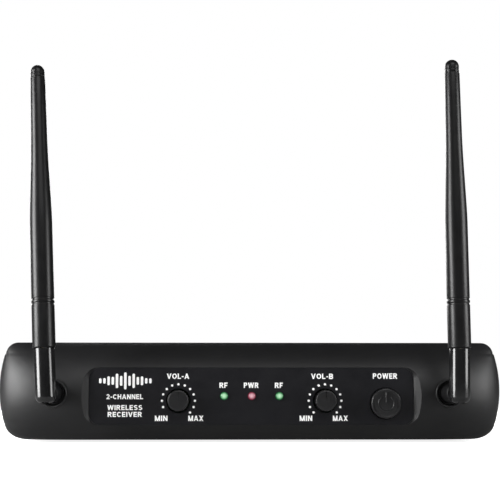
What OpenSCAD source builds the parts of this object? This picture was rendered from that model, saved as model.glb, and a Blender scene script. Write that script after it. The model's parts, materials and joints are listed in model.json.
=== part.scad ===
// Two-channel wireless receiver: a low plastic case with a pillow-shaped front bezel,
// two volume knobs, three lamps, a power button and two front antennas on two-axis joints.
// +X is to the right seen from the front, the front faces -Y, and the feet stand on Z = 0.

/* [Case] */
// Width across the bulged sides
case_w = 205; // [195:1:215]
// Height of the case without its feet
case_h = 39.4; // [38:0.2:42]
// Depth from the crown of the bezel to the back edge
case_d = 125; // [115:1:140]
// Wall thickness of the plastic mouldings
wall = 2.4; // [2:0.1:3]
// Height of the rubber feet below the case
foot_h = 1.2; // [1:0.1:3]

/* [Front] */
// Height of the crown in front of the flat panel
crown = 2.9; // [2:0.1:3.5]
// Radius of the crown arc, seen from the side
crown_r = 24.2; // [23.4:0.1:26]
// Height of the crown's centre above the case bottom
crown_z = 17.4; // [17:0.1:18]
// Half width of the flat panel
panel_half_w = 65; // [62:0.5:67]
// Corner radius of the flat panel
panel_corner_r = 4.7; // [3:0.1:6]
// Distance of each volume knob from the middle
knob_x = 29.25; // [26:0.25:32]
// Diameter of a volume knob
knob_d = 8.5; // [8:0.1:9]
// Height of the knob centres above the case bottom
knob_z = 15.6; // [15:0.1:17]
// Distance between neighbouring lamps
lamp_pitch = 11.05; // [9:0.05:12]
// Height of the lamp centres above the case bottom
lamp_z = 17.5; // [16:0.1:20]
// Distance of the power button from the middle
button_x = 53.5; // [50:0.5:55]
// Height of the button centre above the case bottom
button_z = 14.5; // [14:0.1:17]
// Diameter of the power button
button_d = 12; // [10:0.1:12.4]
// Travel of the power button
button_travel = 2; // [1:0.1:2.5]

/* [Antennas] */
// Distance of each antenna socket from the middle
antenna_x = 78.9; // [77:0.1:80]
// Height of the antenna sockets above the case bottom
antenna_z = 18.55; // [17:0.05:20]
// Distance from the flat panel forward to the hinge pin
antenna_reach = 18; // [16:0.5:20]
// Length from the hinge pin to the tip
antenna_len = 130.8; // [120:0.2:150]
// Diameter of the glossy stub
stub_d = 8; // [7.8:0.1:8.4]
// Diameter of the rubber sleeve
sleeve_d = 8.8; // [8.2:0.1:9]
// Sideways lean of the left stub at rest, in degrees
left_lean = -3.8; // [-5:0.1:5]
// Sideways lean of the right stub at rest, in degrees
right_lean = 1.1; // [-5:0.1:5]
// Slight set of the left whip above its stub, in degrees
left_bend = 0.9; // [-2:0.1:2]
// Slight set of the right whip above its stub, in degrees
right_bend = -1.6; // [-2:0.1:2]
// Forward tilt of the left antenna at rest, in degrees
left_tilt = -3.8; // [-4:0.1:5]
// Forward tilt of the right antenna at rest, in degrees
right_tilt = 0; // [-4:0.1:5]

/* [Hidden] */
$fn = 48;
eps = 0.05;      // overlap that keeps cuts and unions clean
slack = 0.1;     // gap between parts that are fitted by hand

// Places along Y, measured from the flat panel, with the whole object centred on Y = 0
jack_proud = 4;                                       // jack thread beyond the rear panel
rear_panel_t = 2;
rear_rebate = 1;                                      // rear panel lies this far inside the back edge
front_reach = antenna_reach + stub_d / 2 + 0.2;
back_reach = case_d - crown + jack_proud - rear_rebate;
panel_y = (front_reach - back_reach) / 2;             // front face of the flat panel
crown_y = panel_y - crown;
crown_axis_y = crown_y + crown_r;
part_y = panel_y + 12;                                // parting plane behind the bezel
back_y = crown_y + case_d;
rear_y = back_y - rear_rebate;                        // outer face of the rear panel
pivot_y = panel_y - antenna_reach;

// Heights in the object's frame
top_z = foot_h + case_h;
widest_z = 20.9;                                      // height of the widest point above the case bottom
split_z = foot_h + widest_z;
floor_z = foot_h + wall;
axis_z = foot_h + antenna_z;
knob_axis_z = foot_h + knob_z;
button_axis_z = foot_h + button_z;
lamp_axis_z = foot_h + lamp_z;
crown_axis_z = foot_h + crown_z;
panel_half_h = sqrt(pow(crown_r, 2) - pow(crown_r - crown, 2));

// Outline of the case seen from the front
side_r = 52;
top_corner_r = 5;
top_flat_x = case_w / 2 - 7.2;
bottom_corner_w = 9.3;
bottom_corner_h = 7;
bottom_flat_x = case_w / 2 - 11.5;
plan_flat_x = 68;                                     // the bezel curves back beyond this half width

// Circuit board
pcb_t = 1.6;
pcb_z = floor_z + 4.5;
pcb_top = pcb_z + pcb_t;
pcb_half_w = 84;
pcb_front = panel_y + 6;
pcb_back = rear_y - rear_panel_t - 1;
post_x = 76;
post_front_y = pcb_front + 16;
post_back_y = pcb_back - 24;
boss_x = 86.5;
boss_r = 3.8;
boss_front_y = part_y + 14;
boss_back_y = back_y - 14;
regulator_x = -24;
regulator_y = 44;

// Feet and vents
foot_r = 6;
foot_recess = 0.6;
foot_x = 72;
top_vent_x = 55;
bottom_vent_x = 34;

// Screws
screw_r = 1.4;
screw_head_r = 2.7;
screw_head_h = 1.7;
screw_seat_z = foot_h + 5;
screw_gap = 0.06;

// Antenna socket, hub and hinge
socket_r = 4.9;
socket_floor_y = panel_y + 0.4;
boss_end_y = panel_y + 7;
journal_r = 3.74;
journal_gap = 0.06;
neck_r = 3.7;
neck_front = 5.2;                                     // from the hinge pin back to the neck
collar_r = 4.4;
thread_r = 2.6;
hub_washer_t = 0.6;
hub_nut_t = 2.5;
hub_end_y = boss_end_y + 3.8;
tongue_t = 2.4;
tongue_r = 2.6;
hinge_slot_w = 2.6;
hinge_slot_r = 2.8;
hinge_pin_r = 0.75;
hinge_pin_gap = 0.05;
hinge_pin_l = 7;

// Heights along the antenna, from the hinge pin
stub_top = 17;
foot_edge = 2.4;                                      // radius of the rounded edge below the stub
ring_bottom = 33.9;
ring_top = 36.3;
knee = 68.6;
taper_end = 95.4;
tip_l = 5.6;
tip_bottom = antenna_len - tip_l;
seam = 0.15;                                          // gap between stub and sleeve
radiator_bottom = 6;
radiator_r = 0.8;
radiator_gap = 0.1;
radiator_play = 0.5;                                  // wider in the stub, as the whip is set at an angle

// Controls
knob_hole_r = 4.9;
knob_proud = 5.6;
shaft_r = 3;
shaft_gap = 0.05;
pot_front_y = panel_y + 6.5;
pot_body = [9.8, 6.8];
lamp_r = 1.5;
lamp_hole_r = 1.6;
button_proud = 2.5;
button_gap = 0.35;
button_back_y = panel_y + 3.8;
plunger_w = 3;
switch_front_y = button_back_y + button_travel + 3.2;
switch_size = [9, 12];
overlay_t = 0.5;

// Rear connectors
audio_x = 42;
audio_z = pcb_top + 8.5;
audio_bore_r = 3.25;
audio_thread_r = 4.75;
audio_depth = 30;
audio_body = [17, 17];
audio_washer_t = 0.8;
audio_nut_t = 2.2;
dc_x = -52;
dc_z = pcb_top + 6.5;
dc_bore_r = 3;
dc_nose_r = 4.2;
dc_pin_r = 1.05;
dc_pin_root_r = 0.8;
dc_depth = 10;
dc_body = [9.4, 14, 11.5];

// ---- Shared shapes ----

// Half width of the case at height z above its bottom
function side_x(z) = case_w / 2 - side_r + sqrt(pow(side_r, 2) - pow(z - widest_z, 2));
function top_x(z) = top_flat_x + sqrt(max(0, pow(top_corner_r, 2) - pow(z - case_h + top_corner_r, 2)));
function bottom_x(z) = bottom_flat_x + bottom_corner_w * sqrt(max(0, 1 - pow(1 - z / bottom_corner_h, 2)));
function half_width(z) =
    z > case_h - top_corner_r ? min(side_x(z), top_x(z)) :
    z < bottom_corner_h ? min(side_x(z), bottom_x(z)) : side_x(z);

// Heights at which the outline has a corner point, closer together on the two curved corners
outline_heights = concat(
    [for (a = [0:15:75]) bottom_corner_h * (1 - cos(a))],
    [for (i = [0:8]) bottom_corner_h + (case_h - top_corner_r - bottom_corner_h) * i / 8],
    [for (a = [75:-15:0]) case_h - top_corner_r * (1 - cos(a))]);

function outline_point(z, side, inset) =
    [side * (half_width(z) - inset), foot_h + inset + z * (case_h - 2 * inset) / case_h];

// Case outline in X and Z, drawn smaller by inset
module outline(inset = 0) {
    last = len(outline_heights) - 1;
    polygon(concat(
        [for (z = outline_heights) outline_point(z, 1, inset)],
        [for (i = [last:-1:0]) outline_point(outline_heights[i], -1, inset)]));
}

// Bezel in plan: flat across the middle, then an elliptical sweep back to the parting plane
module bezel_plan(inset = 0, rear = part_y) {
    flat_y = crown_y + inset;
    reach = case_w / 2 - inset - plan_flat_x;
    side = [for (a = [0:7.5:90]) [plan_flat_x + reach * sin(a), part_y - (part_y - flat_y) * cos(a)]];
    last = len(side) - 1;
    polygon(concat(
        [for (i = [last:-1:0]) [-side[i][0], side[i][1]]],
        side,
        [[case_w / 2 - inset, rear + eps], [-(case_w / 2 - inset), rear + eps]]));
}

// Extrude a shape drawn in X and Z along Y
module along_y(y0, y1) {
    translate([0, y1, 0]) rotate([90, 0, 0]) linear_extrude(y1 - y0) children();
}

// Extrude a shape drawn in Y and Z along X, centred on X = 0
module along_x(width) {
    rotate([90, 0, 90]) linear_extrude(width, center = true) children();
}

// Round bar along Y
module rod_y(x, z, y0, y1, r) {
    translate([x, y0, z]) rotate([-90, 0, 0]) cylinder(r = r, h = y1 - y0);
}

// Box given by its middle in X, its start in Y and its foot in Z
module block(x, y, z, size) {
    translate([x - size[0] / 2, y, z]) cube(size);
}

module rounded_rect(half_w, half_h, r) {
    square([2 * (half_w - r), 2 * half_h], center = true);
    square([2 * half_w, 2 * (half_h - r)], center = true);
    for (sx = [-1, 1]) {
        for (sz = [-1, 1]) {
            translate([sx * (half_w - r), sz * (half_h - r)]) circle(r = r);
        }
    }
}

// Round holes through the panel for the knobs, lamps and button
module control_holes(y0, y1, extra = 0) {
    for (side = [-1, 1]) rod_y(side * knob_x, knob_axis_z, y0, y1, knob_hole_r + extra);
    for (i = [-1:1]) rod_y(i * lamp_pitch, lamp_axis_z, y0, y1, lamp_hole_r + extra);
    rod_y(button_x, button_axis_z, y0, y1, button_d / 2 + button_gap + extra);
}

// ---- Case ----

module bezel_block(inset, front, rear) {
    intersection() {
        along_y(front, rear) outline(inset);
        along_x(case_w) translate([crown_axis_y, crown_axis_z]) circle(r = crown_r - inset, $fn = 96);
        translate([0, 0, -1]) linear_extrude(top_z + 2) bezel_plan(inset, rear);
    }
}

// Wedge in front of the flat panel, with end walls that slope outwards
module panel_recess() {
    depth = crown + 1;
    linear_extrude(top_z) polygon([
        [-panel_half_w, panel_y], [panel_half_w, panel_y],
        [panel_half_w + depth, panel_y - depth], [-panel_half_w - depth, panel_y - depth]]);
}

// Tabs that slide inside the top cover and the bottom case
module bezel_tabs() {
    tab_w = 14;
    tab_t = 1.6;
    for (x = [-60, 0, 60]) {
        block(x, panel_y + 9, top_z - wall - slack - tab_t, [tab_w, 11, tab_t]);
        block(x, panel_y + 4, floor_z + slack, [tab_w, 16, tab_t]);
    }
}

module front_bezel() {
    color([0.14, 0.14, 0.145]) difference() {
        union() {
            difference() {
                bezel_block(0, crown_y - eps, part_y);
                bezel_block(wall, panel_y + wall, part_y + 1);
                panel_recess();
            }
            for (side = [-1, 1]) rod_y(side * antenna_x, axis_z, panel_y + 1, boss_end_y, 7);
            bezel_tabs();
        }
        along_y(panel_y - eps, panel_y + overlay_t) translate([0, crown_axis_z])
            rounded_rect(panel_half_w - slack, panel_half_h - slack, panel_corner_r);
        for (side = [-1, 1]) {
            rod_y(side * antenna_x, axis_z, crown_y - 1, socket_floor_y, socket_r);
            rod_y(side * antenna_x, axis_z, crown_y - 1, boss_end_y + 1, journal_r + journal_gap);
        }
        control_holes(crown_y, panel_y + wall + 1);
    }
}

module panel_overlay() {
    color([0.11, 0.11, 0.125]) difference() {
        along_y(panel_y, panel_y + overlay_t) translate([0, crown_axis_z])
            rounded_rect(panel_half_w - 2 * slack, panel_half_h - 2 * slack, panel_corner_r - slack);
        control_holes(panel_y - 1, panel_y + overlay_t + 1, eps);
    }
}

// Open-ended shell between two heights, with a groove for the rear panel
module shell(z0, z1) {
    intersection() {
        difference() {
            along_y(part_y, back_y) outline();
            along_y(part_y - 1, back_y + 1) outline(wall);
            along_y(rear_y - rear_panel_t - slack, rear_y + slack) outline(wall / 2);
        }
        translate([-case_w, part_y - 1, z0]) cube([2 * case_w, case_d + 2, z1 - z0]);
    }
}

module at_bosses() {
    for (x = [-boss_x, boss_x]) {
        for (y = [boss_front_y, boss_back_y]) {
            translate([x, y, 0]) children();
        }
    }
}

module at_posts() {
    for (x = [-post_x, post_x]) {
        for (y = [post_front_y, post_back_y]) {
            translate([x, y, 0]) children();
        }
    }
}

// Row of ventilation slots, centred on x
module vents(x, y, z) {
    for (i = [-4:4]) block(x + i * 6, y, z, [2, 22, wall + 2]);
}

module top_cover() {
    color([0.13, 0.13, 0.135]) difference() {
        union() {
            shell(split_z, top_z + 1);
            at_bosses() translate([0, 0, split_z])
                cylinder(r = boss_r - 0.2, h = top_z - wall / 2 - split_z);
        }
        at_bosses() translate([0, 0, split_z - 1]) cylinder(r = screw_r + screw_gap, h = 12);
        for (side = [-1, 1]) vents(side * top_vent_x, back_y - 45, top_z - wall - 1);
    }
}

module bottom_case() {
    root_z = foot_h + wall / 2;
    color([0.13, 0.13, 0.135]) difference() {
        union() {
            shell(0, split_z);
            at_bosses() translate([0, 0, root_z]) cylinder(r = boss_r, h = split_z - slack - root_z);
            at_posts() translate([0, 0, root_z]) cylinder(r = 3, h = pcb_z - root_z);
        }
        at_bosses() {
            translate([0, 0, -1]) cylinder(r = screw_head_r + 0.4, h = screw_seat_z + 1);
            translate([0, 0, -1]) cylinder(r = screw_r + 0.2, h = split_z + 2);
        }
        at_posts() translate([0, 0, floor_z - 0.8]) cylinder(r = screw_r - 0.2 + screw_gap, h = 10);
        at_feet() translate([0, 0, foot_h - 1]) cylinder(r = foot_r + slack, h = 1 + foot_recess);
        for (side = [-1, 1]) vents(side * bottom_vent_x, -12, foot_h - 1);
    }
}

module rear_panel() {
    color([0.15, 0.15, 0.155]) difference() {
        along_y(rear_y - rear_panel_t, rear_y) outline(wall / 2 + slack);
        rod_y(audio_x, audio_z, rear_y - 5, rear_y + 1, audio_thread_r + 0.25);
        rod_y(dc_x, dc_z, rear_y - 5, rear_y + 1, dc_nose_r + 0.2);
    }
}

module at_feet() {
    for (x = [-foot_x, foot_x]) {
        for (y = [part_y + 36, back_y - 14]) {
            translate([x, y, 0]) children();
        }
    }
}

module rubber_feet() {
    color([0.08, 0.08, 0.08]) at_feet() rotate_extrude() polygon([
        [0, 0], [foot_r - 0.6, 0], [foot_r, 0.6],
        [foot_r, foot_h + foot_recess], [0, foot_h + foot_recess]]);
}

// Pan-head screw with a cross recess, head down and shank up
module screw(shank_r, length) {
    difference() {
        union() {
            cylinder(r = screw_head_r, h = screw_head_h);
            translate([0, 0, screw_head_h - eps]) cylinder(r = shank_r, h = length + eps);
        }
        for (a = [0, 90]) rotate([0, 0, a]) cube([3, 0.7, 2], center = true);
    }
}

module case_screws() {
    color("dimgray") at_bosses() translate([0, 0, screw_seat_z - screw_head_h]) screw(screw_r, 24);
}

module pcb_screws() {
    color("silver") at_posts() translate([0, 0, pcb_top + screw_head_h]) rotate([180, 0, 0])
        screw(screw_r - 0.2, 6);
}

// ---- Circuit board ----

module main_pcb() {
    color([0.05, 0.32, 0.16]) difference() {
        block(0, pcb_front, pcb_z, [2 * pcb_half_w, pcb_back - pcb_front, pcb_t]);
        at_posts() translate([0, 0, pcb_z - 1]) cylinder(r = screw_r + 0.2, h = pcb_t + 2);
        at_bosses() translate([0, 0, pcb_z - 1]) cylinder(r = boss_r + 1, h = pcb_t + 2);
    }
}

// Tinned steel can, open towards the board
module rf_shield(side) {
    size = [34, 26, 8];
    skin = 0.5;
    color([0.75, 0.76, 0.77]) difference() {
        block(side * 52, -24, pcb_top, size);
        block(side * 52, -24 + skin, pcb_top - eps,
            [size[0] - 2 * skin, size[1] - 2 * skin, size[2] - skin]);
        for (i = [-1:1]) translate([side * 52 + 9 * i, -11, pcb_top]) cylinder(r = 1.5, h = size[2] + 1);
    }
}

module ic_chips() {
    color([0.1, 0.1, 0.1]) {
        for (x = [-52, -12, 16, 52]) block(x, 12, pcb_top, [10, 6.4, 2.6]);
        block(0, -14, pcb_top, [20, 7, 3.4]);
    }
}

module crystals() {
    half = 3.4;
    color([0.82, 0.82, 0.8]) for (x = [-26, 26]) {
        for (y = [-18, -4]) {
            translate([x, y, pcb_top]) linear_extrude(4) {
                square([2 * half, 4], center = true);
                for (s = [-1, 1]) translate([s * half, 0]) circle(r = 2);
            }
        }
    }
}

module capacitors() {
    color([0.12, 0.14, 0.3]) {
        for (x = [-20, -8, 4, 16]) translate([x, 32, pcb_top]) cylinder(r = 3.1, h = 11);
        for (side = [-1, 1]) translate([side * 74, 24, pcb_top]) cylinder(r = 2.5, h = 7);
        translate([-34, 36, pcb_top]) cylinder(r = 5, h = 16);
    }
}

module tuning_coils() {
    coil_y = 22;
    coil = [7, 7, 9];
    color([0.78, 0.78, 0.76]) for (side = [-1, 1]) {
        for (i = [0:2]) {
            x = side * (42 + 10 * i);
            difference() {
                block(x, coil_y, pcb_top, coil);
                translate([x, coil_y + coil[1] / 2, pcb_top + coil[2] - 2]) cylinder(r = 2, h = 3);
            }
        }
    }
}

module resistors() {
    color([0.76, 0.66, 0.5]) for (side = [-1, 1]) {
        for (i = [0:7]) {
            rod_y(side * (8 + 4 * i), pcb_top + 1, 21, 27, 1);
        }
    }
}

module voltage_regulator() {
    color([0.1, 0.1, 0.1]) block(regulator_x, regulator_y, pcb_top + 3, [10, 4, 15]);
}

module heat_sink() {
    back_y = regulator_y + 4;
    color([0.6, 0.61, 0.62]) {
        block(regulator_x, back_y, pcb_top, [20, 2, 20]);
        for (i = [-2:2]) block(regulator_x + 4 * i, back_y + 2 - eps, pcb_top, [1.2, 6, 20]);
    }
}

// ---- Rear connectors ----

module audio_jack() {
    body_y = rear_y - rear_panel_t - audio_depth;
    color([0.1, 0.1, 0.1]) difference() {
        union() {
            block(audio_x, body_y, pcb_top, [audio_body[0], audio_depth, audio_body[1]]);
            rod_y(audio_x, audio_z, rear_y - rear_panel_t - eps, rear_y + jack_proud, audio_thread_r);
        }
        rod_y(audio_x, audio_z, body_y + 2, rear_y + jack_proud + 1, audio_bore_r);
    }
}

module audio_jack_washer() {
    color([0.7, 0.7, 0.7]) difference() {
        rod_y(audio_x, audio_z, rear_y, rear_y + audio_washer_t, 8);
        rod_y(audio_x, audio_z, rear_y - 1, rear_y + 2, audio_thread_r + 0.15);
    }
}

module audio_jack_nut() {
    color([0.12, 0.12, 0.12]) difference() {
        translate([audio_x, rear_y + audio_washer_t, audio_z]) rotate([-90, 30, 0])
            cylinder(r = 7.6, h = audio_nut_t, $fn = 6);
        rod_y(audio_x, audio_z, rear_y, rear_y + jack_proud, audio_thread_r + 0.05);
    }
}

module dc_jack() {
    color([0.09, 0.09, 0.09]) difference() {
        union() {
            block(dc_x, rear_y - rear_panel_t - dc_body[1], pcb_top, dc_body);
            rod_y(dc_x, dc_z, rear_y - rear_panel_t - eps, rear_y, dc_nose_r);
        }
        rod_y(dc_x, dc_z, rear_y - dc_depth, rear_y + 1, dc_bore_r);
        rod_y(dc_x, dc_z, rear_y - dc_depth - 2, rear_y, dc_pin_root_r + 0.02);
    }
}

module dc_jack_pin() {
    color([0.8, 0.78, 0.7]) {
        rod_y(dc_x, dc_z, rear_y - dc_depth, rear_y - 1, dc_pin_r);
        rod_y(dc_x, dc_z, rear_y - dc_depth - 2, rear_y - dc_depth + eps, dc_pin_root_r);
    }
}

// ---- Controls ----

module volume_pot(side) {
    x = side * knob_x;
    pot_top = knob_axis_z + 5.2;
    disc_y = pot_front_y + 2;
    color([0.2, 0.24, 0.2]) difference() {
        union() {
            block(x, pot_front_y, pcb_top, [pot_body[0], pot_body[1], pot_top - pcb_top]);
            rod_y(x, knob_axis_z, panel_y + wall + 0.8, pot_front_y + eps, 3.9);
        }
        rod_y(x, knob_axis_z, panel_y, pot_front_y + 6, shaft_r + shaft_gap);
        rod_y(x, knob_axis_z, disc_y, disc_y + 1.8, 4.4);
    }
}

// Potentiometer shaft with its wiper disc
module volume_shaft(side) {
    x = side * knob_x;
    disc_y = pot_front_y + 2;
    color([0.16, 0.16, 0.16]) {
        rod_y(x, knob_axis_z, panel_y - 2, pot_front_y + 5.6, shaft_r);
        rod_y(x, knob_axis_z, disc_y + 0.3, disc_y + 1.5, 4.2);
    }
}

module volume_knob(side) {
    x = side * knob_x;
    front = panel_y - knob_proud;
    color([0.15, 0.15, 0.155]) difference() {
        translate([x, panel_y + 1.6, knob_axis_z]) rotate([90, 0, 0]) rotate_extrude() polygon([
            [0, 0], [knob_d / 2, 0], [knob_d / 2, knob_proud + 1.1], [knob_d / 2 - 0.5, knob_proud + 1.6],
            [0, knob_proud + 1.6]]);
        rod_y(x, knob_axis_z, panel_y - 2.2, panel_y + 2, shaft_r + 0.02);
        block(x, front - 1, knob_axis_z + 0.8, [0.5, 1.3, 2.6]);
    }
}

module lamp(i, tint) {
    x = i * lamp_pitch;
    color(tint) {
        rod_y(x, lamp_axis_z, panel_y + 0.3, panel_y + 4.5, lamp_r);
        rod_y(x, lamp_axis_z, panel_y + wall + 0.3, panel_y + 4.5, 1.9);
        translate([x, panel_y + 0.3, lamp_axis_z]) sphere(r = lamp_r);
    }
}

module lamp_leads() {
    lead = 0.5;
    bend_y = panel_y + 9.5;
    color([0.8, 0.8, 0.8]) for (i = [-1:1]) {
        for (s = [-1, 1]) {
            x = i * lamp_pitch + s * 1.27;
            block(x, panel_y + 4.5, lamp_axis_z - lead / 2, [lead, 5, lead]);
            block(x, bend_y - lead, pcb_top, [lead, lead, lamp_axis_z - pcb_top]);
        }
    }
}

module power_switch() {
    color([0.12, 0.12, 0.13]) difference() {
        block(button_x, switch_front_y, pcb_top, [switch_size[0], switch_size[1], 11]);
        block(button_x, switch_front_y - 1, button_axis_z - plunger_w / 2 - slack,
            [plunger_w + 2 * slack, 10, plunger_w + 2 * slack]);
    }
}

module power_plunger() {
    color([0.85, 0.85, 0.82])
        block(button_x, panel_y + 1.8, button_axis_z - plunger_w / 2, [plunger_w, 12.5, plunger_w]);
}

// Raised power mark: a ring open at the top and an upright bar
module power_mark() {
    mark_r = 3.05;
    stroke = 0.55;
    difference() {
        circle(r = mark_r + stroke / 2);
        circle(r = mark_r - stroke / 2);
        polygon([[0, 0], [-4, 5], [4, 5]]);
    }
    translate([-stroke / 2, 0]) square([stroke, 4.4]);
}

module power_button() {
    front = panel_y - button_proud;
    color([0.16, 0.16, 0.165]) {
        difference() {
            translate([button_x, button_back_y, button_axis_z]) rotate([90, 0, 0]) rotate_extrude() polygon([
                [0, 0], [7.4, 0], [7.4, 1], [button_d / 2, 1], [button_d / 2, button_proud + 3.3],
                [button_d / 2 - 0.5, button_proud + 3.8], [0, button_proud + 3.8]]);
            block(button_x, panel_y + 1.8, button_axis_z - plunger_w / 2 - 0.02,
                [plunger_w + 0.04, 5, plunger_w + 0.04]);
        }
        along_y(front - 0.2, front + eps) translate([button_x, button_axis_z]) power_mark();
    }
}

// ---- Antennas ----

function lean(side) = side < 0 ? left_lean : right_lean;
function tilt(side) = side < 0 ? left_tilt : right_tilt;
function bend(side) = side < 0 ? left_bend : right_bend;

// Frame of a swivel hub: origin at the hinge pin, +Y back into the case
module hub_frame(side) {
    translate([side * antenna_x, pivot_y, axis_z]) rotate([0, lean(side), 0]) children();
}

// Frame of an antenna: origin at the hinge pin, +Z towards the tip
module antenna_frame(side) {
    hub_frame(side) rotate([tilt(side), 0, 0]) children();
}

// Leaf spring that stands on the board behind the hub
module antenna_contact(side) {
    strip_w = 4;
    strip_t = 0.4;
    y = hub_end_y + 0.3;
    color([0.8, 0.66, 0.36]) {
        block(side * antenna_x, y, pcb_top, [strip_w, strip_t, axis_z + 2 - pcb_top]);
        block(side * antenna_x, y, pcb_top, [strip_w, 6, strip_t]);
    }
}

module swivel_hub(side) {
    reach = function(y) y - pivot_y;
    color([0.11, 0.11, 0.115]) hub_frame(side) difference() {
        union() {
            along_x(tongue_t) {
                circle(r = tongue_r);
                translate([0, -tongue_r]) square([neck_front + 1, 2 * tongue_r]);
            }
            rod_y(0, 0, neck_front, reach(socket_floor_y), neck_r);
            rod_y(0, 0, reach(socket_floor_y) - 1.3, reach(socket_floor_y) - 0.1, collar_r);
            rod_y(0, 0, reach(socket_floor_y) - 0.2, reach(boss_end_y) + 0.1, journal_r);
            rod_y(0, 0, reach(boss_end_y), reach(hub_end_y), thread_r);
        }
        rotate([0, 90, 0]) cylinder(r = hinge_pin_r + hinge_pin_gap, h = 2 * tongue_t, center = true);
    }
}

module hub_washer(side) {
    y = boss_end_y + slack - pivot_y;
    color([0.72, 0.72, 0.7]) hub_frame(side) difference() {
        rod_y(0, 0, y, y + hub_washer_t, 6);
        rod_y(0, 0, y - 1, y + 2, thread_r + 0.1);
    }
}

module hub_nut(side) {
    y = boss_end_y + slack + hub_washer_t - pivot_y;
    color([0.8, 0.66, 0.36]) hub_frame(side) difference() {
        translate([0, y, 0]) rotate([-90, 0, 0]) cylinder(r = 4.6, h = hub_nut_t, $fn = 6);
        rod_y(0, 0, y - 1, y + 4, thread_r + 0.03);
    }
}

module hinge_pin(side) {
    color([0.75, 0.75, 0.75]) antenna_frame(side) rotate([0, 90, 0])
        cylinder(r = hinge_pin_r, h = hinge_pin_l, center = true);
}

// Frame of the whip above the stub, measured from the hinge pin along the whip
module whip_frame(side) {
    antenna_frame(side) translate([0, 0, stub_top]) rotate([0, bend(side), 0]) translate([0, 0, -stub_top])
        children();
}

module radiator_bore(gap) {
    translate([0, 0, radiator_bottom - slack]) cylinder(r = radiator_r + gap, h = antenna_len);
}

// Room for the hub's tongue as the antenna turns from a little behind upright to straight forward
module hinge_slot() {
    reach = stub_d / 2 + 1;
    rear_top = hinge_slot_r + 0.25;
    along_x(hinge_slot_w) {
        circle(r = hinge_slot_r);
        translate([0, -reach]) square([reach, reach + rear_top]);
        translate([-hinge_slot_r, -reach]) square([hinge_slot_r + eps, reach]);
    }
}

module antenna_stub(side) {
    color([0.04, 0.04, 0.045]) antenna_frame(side) difference() {
        rotate_extrude() polygon(concat(
            [[0, -stub_d / 2]],
            [for (a = [0 : 15 : 90])
                [stub_d / 2 - foot_edge * (1 - sin(a)), -stub_d / 2 + foot_edge * (1 - cos(a))]],
            [[stub_d / 2, stub_top], [0, stub_top]]));
        hinge_slot();
        rotate([0, 90, 0]) cylinder(r = hinge_pin_r + 0.03, h = stub_d + 1, center = true);
        radiator_bore(radiator_play);
    }
}

module antenna_sleeve(side) {
    color([0.12, 0.12, 0.125]) whip_frame(side) difference() {
        translate([0, 0, stub_top + seam]) cylinder(r = sleeve_d / 2, h = ring_bottom - stub_top - seam);
        radiator_bore(radiator_gap);
    }
}

module antenna_ring(side) {
    groove = 0.7;
    deep_r = sleeve_d / 2 - 0.2;
    color([0.1, 0.1, 0.105]) whip_frame(side) difference() {
        translate([0, 0, ring_bottom]) {
            cylinder(r = deep_r, h = ring_top - ring_bottom);
            translate([0, 0, groove]) cylinder(r = sleeve_d / 2, h = ring_top - ring_bottom - 2 * groove);
        }
        radiator_bore(radiator_gap);
    }
}

module antenna_whip(side) {
    base_r = sleeve_d / 2 - 0.03;
    color([0.12, 0.12, 0.125]) whip_frame(side) difference() {
        rotate_extrude() polygon([
            [0, ring_top], [base_r, ring_top], [base_r, knee], [3.27, taper_end], [3.07, taper_end + 18],
            [2.95, tip_bottom], [0, tip_bottom]]);
        radiator_bore(radiator_gap);
    }
}

module antenna_tip(side) {
    tip_r = 2.78;
    groove_r = 2.6;
    groove = 0.4;
    band = 1.1;
    color([0.11, 0.11, 0.115]) whip_frame(side) {
        translate([0, 0, tip_bottom]) cylinder(r = groove_r, h = 2);
        translate([0, 0, tip_bottom + groove]) cylinder(r = tip_r, h = band);
        translate([0, 0, tip_bottom + 2 * groove + band])
            cylinder(r = tip_r, h = tip_l - tip_r - 2 * groove - band);
        translate([0, 0, antenna_len - tip_r]) sphere(r = tip_r);
    }
}

module radiator(side) {
    color([0.8, 0.6, 0.35]) whip_frame(side) translate([0, 0, radiator_bottom])
        cylinder(r = radiator_r, h = tip_bottom - radiator_bottom);
}

// ---- Assembly ----

front_bezel();
panel_overlay();
top_cover();
bottom_case();
rear_panel();
rubber_feet();
case_screws();
pcb_screws();
main_pcb();
rf_shield(-1);  // rf_shield_a
rf_shield(1);  // rf_shield_b
ic_chips();
crystals();
capacitors();
tuning_coils();
resistors();
voltage_regulator();
heat_sink();
audio_jack();
audio_jack_washer();
audio_jack_nut();
dc_jack();
dc_jack_pin();
volume_pot(-1);  // volume_pot_a
volume_pot(1);  // volume_pot_b
volume_shaft(-1);  // volume_shaft_a
volume_shaft(1);  // volume_shaft_b
volume_knob(-1);  // volume_knob_a
volume_knob(1);  // volume_knob_b
lamp(-1, [0.55, 0.85, 0.6]);  // lamp_rf_a
lamp(0, [0.85, 0.4, 0.45]);  // lamp_power
lamp(1, [0.55, 0.85, 0.6]);  // lamp_rf_b
lamp_leads();
power_switch();
power_plunger();
power_button();
antenna_contact(-1);  // left_antenna_contact
antenna_contact(1);  // right_antenna_contact
swivel_hub(-1);  // left_swivel_hub
swivel_hub(1);  // right_swivel_hub
hub_washer(-1);  // left_hub_washer
hub_washer(1);  // right_hub_washer
hub_nut(-1);  // left_hub_nut
hub_nut(1);  // right_hub_nut
hinge_pin(-1);  // left_hinge_pin
hinge_pin(1);  // right_hinge_pin
antenna_stub(-1);  // left_antenna_stub
antenna_stub(1);  // right_antenna_stub
antenna_sleeve(-1);  // left_antenna_sleeve
antenna_sleeve(1);  // right_antenna_sleeve
antenna_ring(-1);  // left_antenna_ring
antenna_ring(1);  // right_antenna_ring
antenna_whip(-1);  // left_antenna_whip
antenna_whip(1);  // right_antenna_whip
antenna_tip(-1);  // left_antenna_tip
antenna_tip(1);  // right_antenna_tip
radiator(-1);  // left_radiator
radiator(1);  // right_radiator
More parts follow.
